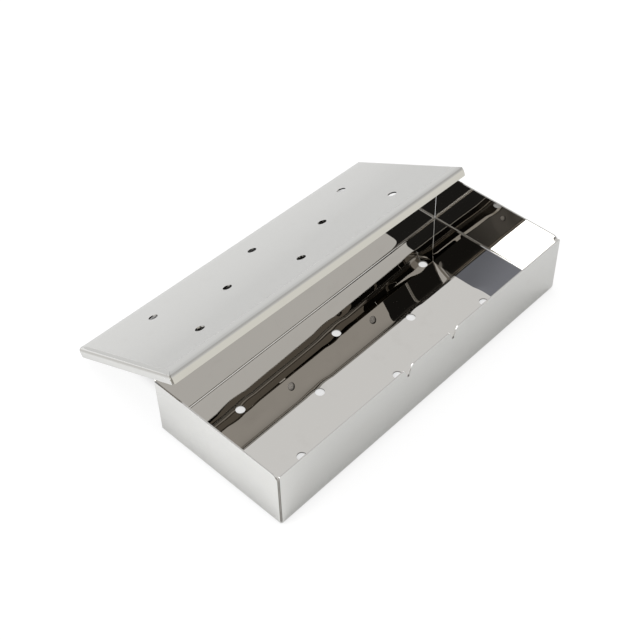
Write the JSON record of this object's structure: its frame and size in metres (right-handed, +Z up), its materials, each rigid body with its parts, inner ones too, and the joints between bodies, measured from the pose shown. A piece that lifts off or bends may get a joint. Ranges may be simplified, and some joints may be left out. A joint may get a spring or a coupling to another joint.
{
  "type": "grill smoker box",
  "caption": "Shallow rectangular smoker box folded from stainless sheet, with vents in its floor and a loose vented lid that leans on the back wall.",
  "frame": {"origin": "centre of the tray's underside, on the surface that the box stands on", "axes": "+X along the tray's long side, +Y towards the back wall that the lid leans on, +Z up"},
  "size_m": [0.229, 0.1589, 0.0517],
  "materials": {
    "tray_steel": "bright polished stainless sheet, nearly a mirror inside",
    "lid_steel": "bright stainless sheet with a faint rolled grain"
  },
  "bodies": {
    "tray": {"tray": "tray_steel"},
    "lid": {"lid": "lid_steel"}
  },
  "joints": [
    {"name": "lid_lift", "type": "slide", "parent": "tray", "child": "lid", "axis": [0, 0, 1], "range_m": [0, 0.08]}
  ]
}
